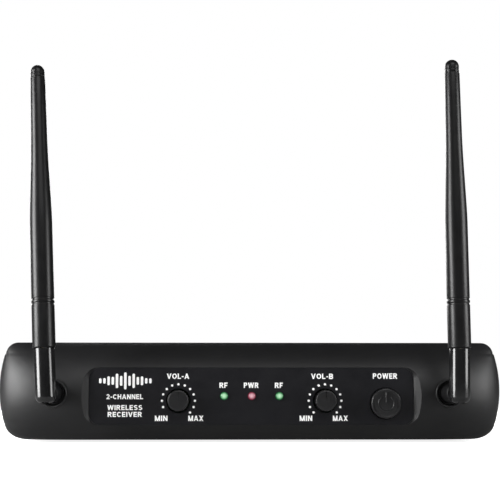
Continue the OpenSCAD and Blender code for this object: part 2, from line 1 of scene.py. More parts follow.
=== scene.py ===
"""Looks of the two-channel wireless receiver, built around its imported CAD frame.

Points are worked out in millimetres and written to meshes in metres. +X is to the right
seen from the front, the front faces -Y, and the feet stand on Z = 0.
"""

import json
import math

import bmesh
import bpy
import numpy as np
from mathutils import Matrix, Vector


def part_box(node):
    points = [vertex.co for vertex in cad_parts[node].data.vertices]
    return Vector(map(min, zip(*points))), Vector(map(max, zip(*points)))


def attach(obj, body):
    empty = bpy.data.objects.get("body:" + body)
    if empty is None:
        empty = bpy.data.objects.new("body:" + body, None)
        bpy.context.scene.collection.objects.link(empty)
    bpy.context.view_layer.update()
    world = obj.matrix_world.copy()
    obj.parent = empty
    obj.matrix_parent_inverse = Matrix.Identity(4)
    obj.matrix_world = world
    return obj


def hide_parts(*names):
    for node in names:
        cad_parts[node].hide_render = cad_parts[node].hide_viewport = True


MM = 0.001
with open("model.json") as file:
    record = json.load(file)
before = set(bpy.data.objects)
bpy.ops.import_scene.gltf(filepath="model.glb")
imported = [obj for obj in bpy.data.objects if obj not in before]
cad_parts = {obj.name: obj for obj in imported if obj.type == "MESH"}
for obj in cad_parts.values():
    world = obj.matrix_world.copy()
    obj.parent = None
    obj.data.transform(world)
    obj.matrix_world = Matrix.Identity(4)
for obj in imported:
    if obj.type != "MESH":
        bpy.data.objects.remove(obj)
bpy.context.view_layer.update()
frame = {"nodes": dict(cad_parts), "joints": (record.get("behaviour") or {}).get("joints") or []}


def low(node):
    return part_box(node)[0] / MM


def high(node):
    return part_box(node)[1] / MM


def middle(node):
    return (low(node) + high(node)) / 2


# ---- Sizes, from the frame ----

CASE_X = high("bottom_case").x
FOOT_H = low("bottom_case").z
TOP_Z = high("top_cover").z
CASE_H = TOP_Z - FOOT_H
SPLIT_Z = high("bottom_case").z
PART_Y = low("top_cover").y
BACK_Y = high("top_cover").y
CROWN_Y = low("front_bezel").y
PANEL_Y = low("panel_overlay").y
PANEL_Z = middle("panel_overlay").z
FILM_X = high("panel_overlay").x
FILM_H = high("panel_overlay").z - PANEL_Z
FILM_T = high("panel_overlay").y - PANEL_Y
REAR_Y = high("rear_panel").y
REAR_T = REAR_Y - low("rear_panel").y
BOSS_END_Y = low("left_hub_washer").y - 0.1
KNOB_Z = middle("volume_knob_a").z
KNOB_X = middle("volume_knob_b").x
KNOB_R = high("volume_knob_b").x - KNOB_X
LAMP_Z = middle("lamp_power").z
LAMP_PITCH = middle("lamp_rf_b").x
BUTTON_X = middle("power_button").x
BUTTON_Z = middle("power_button").z

# ---- Sizes that the design fixes ----

WALL = 2.4
FILM_GAP = 0.2                      # between the film and the ends of the flat panel
PANEL_X = FILM_X + FILM_GAP
PANEL_HALF_H = FILM_H + FILM_GAP
CROWN = PANEL_Y - CROWN_Y
CROWN_R = (PANEL_HALF_H ** 2 + CROWN ** 2) / (2 * CROWN)
CROWN_AXIS_Y = CROWN_Y + CROWN_R
PANEL_CORNER_R = 4.7
PLAN_FLAT_X = 68                    # the bezel curves back beyond this half width
SIDE_R = 52
WIDEST_Z = SPLIT_Z - FOOT_H
TOP_CORNER_R = 5
TOP_FLAT_X = CASE_X - 7.2
BOTTOM_CORNER_W = 9.3
BOTTOM_CORNER_H = 7
BOTTOM_FLAT_X = CASE_X - 11.5
SOCKET_R = 4.9
SOCKET_FLOOR_Y = PANEL_Y + 0.4
JOURNAL_R = 3.74
KNOB_HOLE_R = 4.9
LAMP_R = 1.5
BUTTON_R = 6
BUTTON_HOLE_R = 6.35
SCREW_HEAD_R = 2.7
FOOT_R = 6


# ---- Mesh helpers ----


def link(name, data):
    obj = bpy.data.objects.new(name, data)
    bpy.context.scene.collection.objects.link(obj)
    return obj


def build(name, points, faces, place_at=Matrix()):
    """A mesh from points in millimetres, with doubled points merged and faces turned outwards."""
    mesh = bpy.data.meshes.new(name)
    mesh.from_pydata([(place_at @ Vector(p)) * MM for p in points], [], faces)
    bm = bmesh.new()
    bm.from_mesh(mesh)
    bmesh.ops.remove_doubles(bm, verts=bm.verts, dist=1e-7)
    bmesh.ops.recalc_face_normals(bm, faces=bm.faces)
    bm.to_mesh(mesh)
    bm.free()
    return link(name, mesh)


def settle(obj):
    """Makes the result of an object's modifiers its own mesh."""
    evaluated = obj.evaluated_get(bpy.context.evaluated_depsgraph_get())
    mesh = bpy.data.meshes.new_from_object(evaluated)
    obj.modifiers.clear()
    obj.data = mesh
    return obj


def discard(*objs):
    for obj in objs:
        bpy.data.objects.remove(obj)


def combine(obj, operation, tools):
    for tool in tools:
        step = obj.modifiers.new("combine", "BOOLEAN")
        step.operation = operation
        step.solver = "EXACT"
        step.object = tool
    settle(obj)
    discard(*tools)
    return obj


def carve(obj, *tools):
    """Cuts the tools out of obj."""
    return combine(obj, "DIFFERENCE", tools)


def fuse(obj, *tools):
    """Joins the tools to obj as one solid."""
    return combine(obj, "UNION", tools)


def add_bevel(obj, width, angle, segments=2):
    """Adds a rounding of width in millimetres on the edges that are sharper than angle degrees."""
    step = obj.modifiers.new("soften", "BEVEL")
    step.width = width * MM
    step.segments = segments
    step.limit_method = "ANGLE"
    step.angle_limit = math.radians(angle)


def soften_edges(obj, width, angle, segments=2):
    """Rounds the sharp edges of a new piece for good."""
    add_bevel(obj, width, angle, segments)
    return settle(obj)


def merge(name, objs):
    """One object that holds the meshes of several."""
    bm = bmesh.new()
    for obj in objs:
        bm.from_mesh(obj.data)
    mesh = bpy.data.meshes.new(name)
    bm.to_mesh(mesh)
    bm.free()
    discard(*objs)
    return link(name, mesh)


def fillet(corners, closed=True, steps=5):
    """Points of a flat outline through (a, b, radius) corners, with an arc at each one that has a radius."""
    points = []
    for i, (a, b, radius) in enumerate(corners):
        here = Vector((a, b))
        if not radius or not (closed or 0 < i < len(corners) - 1):
            points.append(here)
            continue
        before = (Vector(corners[i - 1][:2]) - here).normalized()
        after = (Vector(corners[(i + 1) % len(corners)][:2]) - here).normalized()
        half = before.angle(after) / 2
        centre = here + (before + after).normalized() * radius / math.sin(half)
        start = here + before * radius / math.tan(half) - centre
        end = here + after * radius / math.tan(half) - centre
        turn = math.copysign(math.pi - 2 * half, start.x * end.y - start.y * end.x)
        points += [centre + Matrix.Rotation(turn * k / steps, 2) @ start for k in range(steps + 1)]
    return points


def arc(x, y, radius, start, end, steps, height=None):
    """Points about (x, y), from one angle in degrees to another. A height makes the arc elliptical."""
    turns = [math.radians(start + (end - start) * k / steps) for k in range(steps + 1)]
    return [(x + radius * math.cos(t), y + (height or radius) * math.sin(t)) for t in turns]


def circle(x, y, radius, count=48):
    return arc(x, y, radius, 0, 360, count)[:-1]


def rounded_rect(half_w, half_h, radius, steps=10):
    corners = [(half_w, -half_h), (half_w, half_h), (-half_w, half_h), (-half_w, -half_h)]
    return fillet([(a, b, radius) for a, b in corners], steps=steps)


def loft(name, rings, place_at=Matrix()):
    """A solid through closed rings of equal length, with flat ends."""
    count = len(rings[0])
    points = [p for ring in rings for p in ring]
    faces = [list(range(count)), list(range(len(points) - count, len(points)))]
    for r in range(len(rings) - 1):
        for k in range(count):
            a, b = r * count + k, r * count + (k + 1) % count
            faces.append([a, b, b + count, a + count])
    return build(name, points, faces, place_at)


def prism(name, outline, start, end, place_at=Matrix()):
    """An outline drawn in the first two axes of place_at, extruded along the third."""
    return loft(name, [[(p[0], p[1], depth) for p in outline] for depth in (start, end)], place_at)


def lathe(name, profile, place_at=Matrix(), segments=96, closed=False, flutes=0):
    """Turns (radius, height) points about Z. A third value is the depth of the flutes there."""
    rings = []
    for point in profile:
        radius, height, depth = (*point, 0)[:3]
        ring = []
        for k in range(segments):
            turn = math.tau * k / segments
            r = radius - depth * (0.5 - 0.5 * math.cos(turn * flutes))
            ring.append((r * math.cos(turn), r * math.sin(turn), height))
        rings.append(ring)
    points = [p for ring in rings for p in ring]
    faces = []
    for r in range(len(rings) if closed else len(rings) - 1):
        following = (r + 1) % len(rings)
        for k in range(segments):
            n = (k + 1) % segments
            faces.append([r * segments + k, r * segments + n,
                          following * segments + n, following * segments + k])
    return build(name, points, faces, place_at)


def axis_frame(origin, direction, right=Vector((1, 0, 0))):
    """Frame with its third axis along direction and its first one near right."""
    z = Vector(direction).normalized()
    y = z.cross(right).normalized()
    x = y.cross(z)
    made = Matrix((x, y, z)).transposed().to_4x4()
    made.translation = Vector(origin)
    return made


def facing_front(x, y, z):
    """Frame of a control: first axis +X, second +Z, third out of the panel along -Y."""
    return axis_frame((x, y, z), (0, -1, 0))


def rod(x, z, y0, y1, radius, count=64):
    return prism("rod", circle(0, 0, radius, count), 0, y1 - y0, facing_front(x, y1, z))


def block(x, y, z, size):
    """Box given by its middle in X, its start in Y and its foot in Z."""
    w, d, h = size
    outline = [(x - w / 2, y), (x + w / 2, y), (x + w / 2, y + d), (x - w / 2, y + d)]
    return prism("block", outline, z, z + h)


def shade(obj, angle=35):
    """Smooth shading, with creases where faces meet at more than angle degrees."""
    obj.data.shade_smooth()
    obj.data.set_sharp_from_angle(angle=math.radians(angle))


# ---- Materials ----


class Nodes:
    """A procedural material on the Principled shader, in the object's own coordinates."""

    def __init__(self, name):
        self.material = bpy.data.materials.new("finish_" + name)
        self.material.use_nodes = True
        self.tree = self.material.node_tree
        self.shader = self.tree.nodes["Principled BSDF"]
        self.place = self.add("TexCoord").outputs["Object"]

    def add(self, kind, **values):
        """A node, with its properties or its inputs' constant values set, and its links made."""
        node = self.tree.nodes.new("ShaderNode" + kind)
        for key, value in values.items():
            if hasattr(node, key):
                setattr(node, key, value)
            else:
                self.set(node, key.replace("_", " "), value)
        return node

    def set(self, node, key, value):
        if isinstance(value, bpy.types.NodeSocket):
            self.tree.links.new(value, node.inputs[key])
        else:
            node.inputs[key].default_value = value

    def noise(self, scale, detail=3, roughness=0.55, stretch=None):
        """Noise from 0 to 1. Scale is in waves per metre, and stretch squeezes it along an axis."""
        where = self.place
        if stretch:
            where = self.add("VectorMath", operation="MULTIPLY", Vector=where).outputs[0]
            where.node.inputs[1].default_value = stretch
        node = self.add("TexNoise", Vector=where, Scale=scale, Detail=detail, Roughness=roughness)
        return node.outputs["Fac"]

    def remap(self, value, first, last, start=0.3, end=0.7):
        """Turns start to end into first to last, and holds the ends."""
        node = self.add("MapRange", Value=value)
        for key, number in (("From Min", start), ("From Max", end), ("To Min", first), ("To Max", last)):
            node.inputs[key].default_value = number
        return node.outputs[0]

    def times(self, first, second):
        node = self.add("Math", operation="MULTIPLY")
        self.set(node, 0, first)
        self.set(node, 1, second)
        return node.outputs[0]

    def mix(self, amount, first, second):
        node = self.add("Mix", data_type="RGBA")
        self.set(node, 0, amount)
        self.set(node, 6, first)
        self.set(node, 7, second)
        return node.outputs[2]

    def bump(self, height, depth, before=None):
        """Bump of the given depth in millimetres."""
        node = self.add("Bump", Height=height, Distance=depth * MM, Strength=1.0)
        if before:
            self.set(node, "Normal", before)
        return node.outputs[0]


def rgba(colour, factor=1.0):
    return (*[min(1.0, c * factor) for c in colour], 1)


def moulded(name, colour, rough, grain=0.012, pitch=0.28, wear=0.5, specular=0.5, spread=0.06):
    """Plastic or rubber: fine grain, soft changes of tone and gloss, and edges that are worn paler."""
    n = Nodes(name)
    tone = n.mix(n.remap(n.noise(90, 4), 0, 1), rgba(colour, 0.93), rgba(colour, 1.07))
    edge = n.remap(n.add("NewGeometry").outputs["Pointiness"], 0, wear, 0.52, 0.6)
    scuffs = n.remap(n.noise(700, 5, 0.7), 0.2, 1, 0.45, 0.75)
    n.set(n.shader, "Base Color", n.mix(n.times(edge, scuffs), tone, rgba([c + 0.03 for c in colour])))
    n.set(n.shader, "Roughness", n.remap(n.noise(260, 4), rough - spread, rough + spread))
    n.shader.inputs["Specular IOR Level"].default_value = specular
    fine = n.bump(n.noise(1000 / pitch, 2, 0.6), grain)
    n.set(n.shader, "Normal", n.bump(n.noise(140, 2), 0.008, fine))
    return n.material


def metal(name, colour, rough, stretch=(1, 1, 1), depth=0.004):
    """Plated or bare metal with drawn marks and dull patches."""
    n = Nodes(name)
    marks = n.noise(2400, 3, 0.6, stretch)
    dull = n.remap(n.noise(350, 4), 0, 1)
    n.set(n.shader, "Base Color", n.mix(dull, rgba(colour, 0.8), rgba(colour, 1.1)))
    n.set(n.shader, "Roughness", n.remap(marks, rough - 0.08, rough + 0.12))
    n.shader.inputs["Metallic"].default_value = 1.0
    n.set(n.shader, "Normal", n.bump(marks, depth))
    return n.material


def circuit_board(name, colour):
    """Solder mask over copper tracks, with rows of plated pads."""
    n = Nodes(name)
    tracks = n.add("TexBrick", Vector=n.place, Scale=160.0, offset=0.5)
    for key, number in (("Mortar Size", 0.035), ("Mortar Smooth", 0.1), ("Bias", 0.0)):
        tracks.inputs[key].default_value = number
    pads = n.add("TexVoronoi", Vector=n.place, Scale=260.0, distance="CHEBYCHEV", Randomness=0.0)
    spot = n.remap(pads.outputs["Distance"], 1, 0, 0.1, 0.13)
    mask = n.mix(tracks.outputs["Fac"], rgba(colour), rgba(colour, 1.7))
    n.set(n.shader, "Base Color", n.mix(spot, mask, (0.55, 0.54, 0.5, 1)))
    n.set(n.shader, "Roughness", n.remap(n.noise(500, 3), 0.25, 0.4))
    n.set(n.shader, "Normal", n.bump(tracks.outputs["Fac"], 0.03))
    return n.material


def banded(name, colour, band, pitch, rough):
    """Lacquered component bodies with printed bands along Y."""
    n = Nodes(name)
    along = n.add("SeparateXYZ", Vector=n.place).outputs["Y"]
    wave = n.add("Math", operation="SINE", Value=n.times(along, math.tau / (pitch * MM))).outputs[0]
    stripe = n.remap(wave, 0, 1, 0.55, 0.7)
    n.set(n.shader, "Base Color", n.mix(stripe, rgba(colour), rgba(band)))
    n.set(n.shader, "Roughness", n.remap(n.noise(900, 3), rough - 0.05, rough + 0.1))
    n.set(n.shader, "Normal", n.bump(n.noise(1500, 3), 0.01))
    return n.material


def lit_lens(name, core, rim, strength):
    """Lens of a lit lamp, pale in the middle and saturated at the rim, about the object's own origin."""
    n = Nodes(name)
    flat = n.add("VectorMath", operation="MULTIPLY", Vector=n.place)
    flat.inputs[1].default_value = (1, 0, 1)
    radius = n.add("VectorMath", operation="LENGTH", Vector=flat.outputs[0]).outputs["Value"]
    glow = n.remap(radius, 0, 1, 0.25 * LAMP_R * MM, 0.92 * LAMP_R * MM)
    cloud = n.remap(n.noise(1400, 3), 0.9, 1.0)
    tint = n.mix(glow, rgba(core), rgba(rim))
    n.set(n.shader, "Base Color", n.mix(glow, rgba(core, 0.4), rgba(rim, 0.4)))
    n.set(n.shader, "Emission Color", n.mix(cloud, rgba(rim), tint))
    n.shader.inputs["Emission Strength"].default_value = strength
    n.set(n.shader, "Roughness", n.remap(n.noise(900, 3), 0.12, 0.22))
    n.set(n.shader, "Normal", n.bump(n.noise(700, 2), 0.01))
    return n.material


def ink_with_painted_glow(name, colour, strength):
    """Pale ink or plastic, with a painted glow of its own so that it stays bright in a dim studio."""
    n = Nodes(name)
    tone = n.mix(n.remap(n.noise(900, 3), 0, 1), rgba(colour, 0.94), rgba(colour, 1.06))
    n.set(n.shader, "Base Color", tone)
    # Painted glow: the ink's own tone also drives its emission, though the ink gives no light.
    n.set(n.shader, "Emission Color", tone)
    n.shader.inputs["Emission Strength"].default_value = strength
    n.set(n.shader, "Roughness", n.remap(n.noise(500, 3), 0.4, 0.52))
    n.set(n.shader, "Normal", n.bump(n.noise(5000, 2), 0.004))
    return n.material


def make_materials():
    return {
        "case_plastic": moulded("case_plastic", (0.0085, 0.0085, 0.009), 0.44, grain=0.035, pitch=0.35,
                                specular=0.34, spread=0.025),
        "overlay_film": moulded("overlay_film", (0.0042, 0.0042, 0.006), 0.42, grain=0.006, pitch=0.16,
                                wear=0.1, specular=0.32),
        "rubber": moulded("rubber", (0.008, 0.008, 0.008), 0.7, grain=0.03, pitch=0.4, specular=0.35),
        "dark_steel": metal("dark_steel", (0.05, 0.05, 0.055), 0.38),
        "bright_steel": metal("bright_steel", (0.55, 0.55, 0.56), 0.28),
        "circuit_board": circuit_board("circuit_board", (0.01, 0.09, 0.035)),
        "tinned_steel": metal("tinned_steel", (0.6, 0.61, 0.62), 0.32),
        "black_plastic": moulded("black_plastic", (0.008, 0.008, 0.008), 0.42, grain=0.01, pitch=0.25),
        "white_plastic": ink_with_painted_glow("white_plastic", (0.86, 0.86, 0.85), 0.22),
        "capacitor_sleeve": banded("capacitor_sleeve", (0.012, 0.016, 0.08), (0.5, 0.52, 0.55), 6.2, 0.3),
        "resistor_body": banded("resistor_body", (0.5, 0.38, 0.22), (0.2, 0.03, 0.01), 1.5, 0.3),
        "aluminium": metal("aluminium", (0.45, 0.46, 0.47), 0.35, (1, 1, 0.05)),
        "brass": metal("brass", (0.6, 0.42, 0.16), 0.26),
        "pot_body": moulded("pot_body", (0.02, 0.05, 0.03), 0.4, grain=0.01),
        "control_plastic": moulded("control_plastic", (0.009, 0.009, 0.0097), 0.33, grain=0.006, pitch=0.2),
        "green_lamp": lit_lens("green_lamp", (0.5, 0.9, 0.55), (0.015, 0.16, 0.045), 0.62),
        "red_lamp": lit_lens("red_lamp", (0.72, 0.4, 0.46), (0.2, 0.02, 0.045), 0.68),
        "antenna_plastic": moulded("antenna_plastic", (0.0055, 0.0055, 0.006), 0.5, grain=0.01,
                                   specular=0.25),
        "antenna_gloss": moulded("antenna_gloss", (0.0085, 0.0085, 0.009), 0.17, grain=0.001, pitch=0.5,
                                 wear=0.1, spread=0.02),
        "antenna_rubber": moulded("antenna_rubber", (0.006, 0.006, 0.0063), 0.33, grain=0.006, pitch=0.3,
                                  specular=0.27, spread=0.03),
    }


MATERIALS = make_materials()


def paint(obj, slot):
    obj.data.materials.clear()
    obj.data.materials.append(MATERIALS[slot])


def place(obj, body, slot, *nodes, crease=35):
    """Finishes a new piece: its shading, material slot, body, and the CAD nodes that it stands for."""
    shade(obj, crease)
    paint(obj, slot)
    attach(obj, body)
    if nodes:
        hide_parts(*nodes)


# ---- Case ----


def half_width(z):
    """Half width of the case at height z above its bottom."""
    side = CASE_X - SIDE_R + math.sqrt(SIDE_R ** 2 - (z - WIDEST_Z) ** 2)
    from_top = max(0, z - CASE_H + TOP_CORNER_R)
    from_bottom = max(0, 1 - z / BOTTOM_CORNER_H)
    top = TOP_FLAT_X + math.sqrt(max(0, TOP_CORNER_R ** 2 - from_top ** 2))
    bottom = BOTTOM_FLAT_X + BOTTOM_CORNER_W * math.sqrt(max(0, 1 - from_bottom ** 2))
    return min(side, top if from_top else side, bottom if from_bottom else side)


def lifted(z, inset):
    """Height in the object's frame of outline height z, for an outline drawn smaller by inset."""
    return FOOT_H + inset + z * (CASE_H - 2 * inset) / CASE_H


def outline_heights():
    corner = [math.radians(a) for a in range(0, 90, 6)]
    flank = [BOTTOM_CORNER_H + (CASE_H - TOP_CORNER_R - BOTTOM_CORNER_H) * i / 28 for i in range(29)]
    return (
        [BOTTOM_CORNER_H * (1 - math.cos(a)) for a in corner]
        + flank
        + [CASE_H - TOP_CORNER_R * (1 - math.cos(a)) for a in reversed(corner)]
    )


def case_outline(inset=0):
    heights = outline_heights()
    right = [(half_width(z) - inset, lifted(z, inset)) for z in heights]
    return right + [(-x, z) for x, z in reversed(right)]


def along_y(name, outline, y0, y1):
    """An outline drawn in X and Z, extruded along Y."""
    return loft(name, [[(x, y, z) for x, z in outline] for y in (y0, y1)])


def pillow_rows(inset, rim_y, front_limit):
    """Rows of points over the crowned front, from the bottom up. Their ends sweep back to rim_y."""
    heights = outline_heights()
    sweep = [math.radians(a) for a in range(0, 91, 3)]
    flats = [PLAN_FLAT_X * (1 - i / 8) for i in range(1, 16)]

    def crowned(x, z, share):
        height = lifted(z, inset)
        front = CROWN_AXIS_Y - math.sqrt((CROWN_R - inset) ** 2 - (height - PANEL_Z) ** 2)
        return x, max(rim_y - (rim_y - front) * share, front_limit), height

    rows = []
    for j, edge_z in enumerate(heights):
        middle_z = CASE_H * j / (len(heights) - 1)
        right = []
        for a in sweep:
            z = middle_z + (edge_z - middle_z) * math.sin(a) ** 2
            x = PLAN_FLAT_X + (half_width(z) - inset - PLAN_FLAT_X) * math.sin(a)
            right.append(crowned(x, z, math.cos(a)))
        across = [crowned(x, middle_z, 1) for x in flats]
        rows.append(right[::-1] + across + [(-x, y, z) for x, y, z in right])
    return rows


def pillow(name, inset, rim_y, rim_step, rim_inset, front_limit=-1000.0):
    """Solid with the bezel's crowned front, closed by a ring rim_step behind its rim and rim_inset inside."""
    rows = pillow_rows(inset, rim_y, front_limit)
    last, count = len(rows) - 1, len(rows[0])
    points = [p for row in rows for p in row]
    faces = [list(range(count)), list(range(last * count, (last + 1) * count))]
    for j in range(last):
        for a in range(j * count, j * count + count - 1):
            faces.append([a, a + 1, a + count + 1, a + count])
    rim = [j * count for j in range(last + 1)] + [j * count + count - 1 for j in range(last, -1, -1)]
    step = inset + rim_inset
    ring = [(half_width(z) - step, rim_y + rim_step, lifted(z, step)) for z in outline_heights()]
    ring += [(-x, y, z) for x, y, z in reversed(ring)]
    first = len(points)
    points += ring
    for k in range(len(rim)):
        n = (k + 1) % len(rim)
        faces.append([rim[k], rim[n], first + n, first + k])
    faces.append([first + k for k in range(len(ring))])
    return build(name, points, faces)


def recess_tool():
    """Cuts the flat panel into the crown, with end walls that slope outwards."""
    depth = CROWN + 1
    slope, rounding, spare = 0.82, 0.25, 0.3
    rings = []
    for rise in (0, 0.3, 0.7, 1.2, 1.8, depth):
        out = slope * rise + rounding * (math.sqrt(rise / depth) - rise / depth)
        outline = rounded_rect(PANEL_X + out, PANEL_HALF_H + spare + out, PANEL_CORNER_R + out)
        rings.append([(p.x, PANEL_Y - rise, PANEL_Z + p.y) for p in outline])
    return loft("recess", rings)


def film_outline(gap):
    corner = PANEL_CORNER_R + gap - FILM_GAP
    return [(p.x, PANEL_Z + p.y) for p in rounded_rect(FILM_X + gap, FILM_H + gap, corner)]


def control_tools(y0, y1, extra=0.0):
    """Rods through the panel at the knobs, lamps and button."""
    made = [rod(s * KNOB_X, KNOB_Z, y0, y1, KNOB_HOLE_R + extra) for s in (-1, 1)]
    made += [rod(i * LAMP_PITCH, LAMP_Z, y0, y1, LAMP_R + 0.1 + extra, 32) for i in (-1, 0, 1)]
    made.append(rod(BUTTON_X, BUTTON_Z, y0, y1, BUTTON_HOLE_R + extra))
    return made


def socket_tool(x, z):
    """Round socket with a flared mouth, and the journal bore behind it."""
    mouth = CROWN_Y - 0.5
    flare = 0.35
    deep = SOCKET_FLOOR_Y - mouth
    bore_r, bore_end = JOURNAL_R + 0.06, -12
    profile = [(0, bore_end), (bore_r, bore_end), (bore_r, 0), (SOCKET_R, 0)]
    profile += arc(SOCKET_R + flare, deep - flare - 0.4, flare, 180, 90, 6)
    profile += [(SOCKET_R + flare, deep), (0, deep)]
    return lathe("socket", profile, facing_front(x, SOCKET_FLOOR_Y, z))


def socket_lip(x, z):
    """Low rounded ring round a socket, laid on the bezel where it sweeps back."""
    reach_x, reach_y = half_width(WIDEST_Z) - PLAN_FLAT_X, PART_Y - CROWN_Y
    sweep = math.asin((abs(x) - PLAN_FLAT_X) / reach_x)
    y = PART_Y - reach_y * math.cos(sweep)
    slope = math.tan(sweep) * reach_y / reach_x
    ring_r, lip_r, sunk = SOCKET_R + 0.55, 0.4, 0.16
    lay = axis_frame((x, y + sunk, z), (math.copysign(slope, x), -1, 0))
    return lathe("lip", circle(ring_r, 0, lip_r, 12), lay, 96, closed=True)


def make_bezel(sockets):
    seam = 0.35
    bezel = pillow("bezel_moulding", 0, PART_Y - seam, seam, seam)
    cavity = pillow("cavity", WALL, PART_Y, 1.0, 0, PANEL_Y + WALL)
    carve(bezel, cavity)
    tab_places, tab_w, tab_t, boss_r = (-60, 0, 60), 14, 1.6, 7
    tabs = [block(x, PANEL_Y + 9, TOP_Z - WALL - tab_t - 0.1, (tab_w, 11, tab_t)) for x in tab_places]
    tabs += [block(x, PANEL_Y + 4, FOOT_H + WALL + 0.1, (tab_w, 16, tab_t)) for x in tab_places]
    bosses = [rod(x, z, PANEL_Y + 1, BOSS_END_Y, boss_r) for x, z in sockets]
    fuse(bezel, *tabs, *bosses, *[socket_lip(x, z) for x, z in sockets])
    film_bed = along_y("film_bed", film_outline(0.1), PANEL_Y - 0.2, PANEL_Y + FILM_T)
    carve(bezel, recess_tool(), film_bed, *[socket_tool(x, z) for x, z in sockets],
          *control_tools(CROWN_Y, PANEL_Y + WALL + 1))
    place(bezel, "root", "case_plastic", "front_bezel", crease=24)


def make_film():
    film = along_y("overlay_film", film_outline(0), PANEL_Y, PANEL_Y + FILM_T)
    carve(film, *control_tools(PANEL_Y - 1, PANEL_Y + FILM_T + 1, 0.05))
    place(film, "root", "overlay_film", "panel_overlay")


def shell(name, heights, rising):
    """Half of the case as an open-ended shell. Its outline heights rise from the split plane or up to it."""
    right = []
    for z in heights:
        inner_z = lifted(z, WALL)
        right.append(((half_width(z), lifted(z, 0)), (half_width(z) - WALL, inner_z)))
    start = right[0] if rising else right[-1]
    flat = ((start[0][0], SPLIT_Z), (start[1][0], SPLIT_Z))
    right = [flat] + right[1:] if rising else right[:-1] + [flat]
    if not rising:
        right = right[::-1]
    path = right + [((-a[0], a[1]), (-b[0], b[1])) for a, b in reversed(right)]
    points = [(x, y, z) for y in (PART_Y, BACK_Y) for pair in path for x, z in pair]
    count = 2 * len(path)
    faces = []
    for k in range(len(path) - 1):
        a, b, c, d = 2 * k, 2 * k + 1, 2 * k + 3, 2 * k + 2
        faces += [[a, b, c, d], [a + count, d + count, c + count, b + count],
                  [a, d, d + count, a + count], [b, b + count, c + count, c]]
    for a in (0, count - 2):
        faces.append([a, a + 1, a + 1 + count, a + count])
    return soften_edges(build(name, points, faces), 0.35, 40)


def vent_tools(x, y, z):
    """Two rows of nine round-ended slots through the wall, centred on -x and x and starting at y."""
    half_l, pitch = 11, 6
    outline = rounded_rect(1, half_l, 0.98, 6)
    return [
        prism("slot", [(s * x + pitch * i + p.x, y + half_l + p.y) for p in outline], z, z + (WALL + 2))
        for s in (-1, 1) for i in range(-4, 5)
    ]


def corner_places(node, margin):
    """The four places, in X and Y, of a node that repeats near the case's corners."""
    first, last = low(node), high(node)
    return [(s * (last.x - margin), y) for s in (-1, 1) for y in (first.y + margin, last.y - margin)]


def upright(x, y, z0, z1, radius, count=48):
    return prism("upright", circle(x, y, radius, count), z0, z1)


def rear_groove():
    """Cuts the groove that holds the rear panel."""
    return along_y("groove", case_outline(WALL / 2), REAR_Y - REAR_T - 0.1, REAR_Y + 0.1)


def make_top_cover():
    """Upper half of the case, with blind bosses for the case screws."""
    boss_r, thread_r, thread_l = 3.6, 1.46, 11
    bosses = corner_places("case_screws", SCREW_HEAD_R)
    heights = [WIDEST_Z] + [z for z in outline_heights() if z > WIDEST_Z + 0.2]
    top = shell("top_moulding", heights, True)
    fuse(top, *[upright(x, y, SPLIT_Z, TOP_Z - WALL / 2, boss_r) for x, y in bosses])
    carve(top, rear_groove(),
          *[upright(x, y, SPLIT_Z - 1, SPLIT_Z + thread_l, thread_r) for x, y in bosses],
          *vent_tools(55, BACK_Y - 45, TOP_Z - WALL - 1))
    place(top, "root", "case_plastic", "top_cover", crease=24)


def make_bottom_case():
    """Lower half of the case, with through bosses, posts for the board and recesses for the feet."""
    boss_r, head_r, head_z, shank_r = 3.8, 3.1, FOOT_H + 5, 1.6
    post_r, pilot_r, pilot_l, foot_recess = 3, 1.26, 5.3, 0.6
    bosses = corner_places("case_screws", SCREW_HEAD_R)
    posts = corner_places("pcb_screws", SCREW_HEAD_R)
    feet = corner_places("rubber_feet", FOOT_R)
    root_z, board_z = FOOT_H + WALL / 2, low("main_pcb").z
    heights = [z for z in outline_heights() if z < WIDEST_Z - 0.2] + [WIDEST_Z]
    bottom = shell("bottom_moulding", heights, False)
    fuse(bottom, *[upright(x, y, root_z, SPLIT_Z - 0.1, boss_r) for x, y in bosses],
         *[upright(x, y, root_z, board_z, post_r) for x, y in posts])
    carve(bottom, rear_groove(),
          *[upright(x, y, -1, head_z, head_r) for x, y in bosses],
          *[upright(x, y, 0, SPLIT_Z + 1, shank_r) for x, y in bosses],
          *[upright(x, y, board_z - pilot_l, board_z + 1, pilot_r) for x, y in posts],
          *[upright(x, y, 0, FOOT_H + foot_recess, FOOT_R + 0.1, 64) for x, y in feet],
          *vent_tools(34, -12, FOOT_H - 1))
    place(bottom, "root", "case_plastic", "bottom_case", crease=24)


# ---- Controls ----


def make_knob(name, node, body):
    """Fluted knob with a rounded rim and a pointer cut into its face."""
    x, z = middle(node).x, middle(node).z
    front = low(node).y
    depth = high(node).y - front
    flute, edge = 0.28, KNOB_R
    profile = [(0, 0), (edge - 0.3, 0), (edge, 0.3, flute), (edge, depth - 0.75, flute),
               (edge - 0.04, depth - 0.5, flute * 0.8), (edge - 0.14, depth - 0.25, flute * 0.5),
               (edge - 0.3, depth - 0.1, 0.06), (edge - 0.5, depth - 0.03), (edge - 0.8, depth),
               (edge - 1.6, depth), (0, depth - 0.06)]
    place_at = facing_front(x, front + depth, z)
    knob = lathe(name, profile, place_at, 192, flutes=24)
    pointer_up, shaft_r, socket_l = 2.35, 3.02, 3.8
    pointer = prism("pointer", [(p.x, p.y + pointer_up) for p in rounded_rect(0.24, 1.25, 0.2, 4)],
                    depth - 0.6, depth + 1, place_at)
    socket = prism("shaft_hole", circle(0, 0, shaft_r), -1, socket_l, place_at)
    carve(knob, pointer, socket)
    place(knob, body, "control_plastic", node, crease=40)


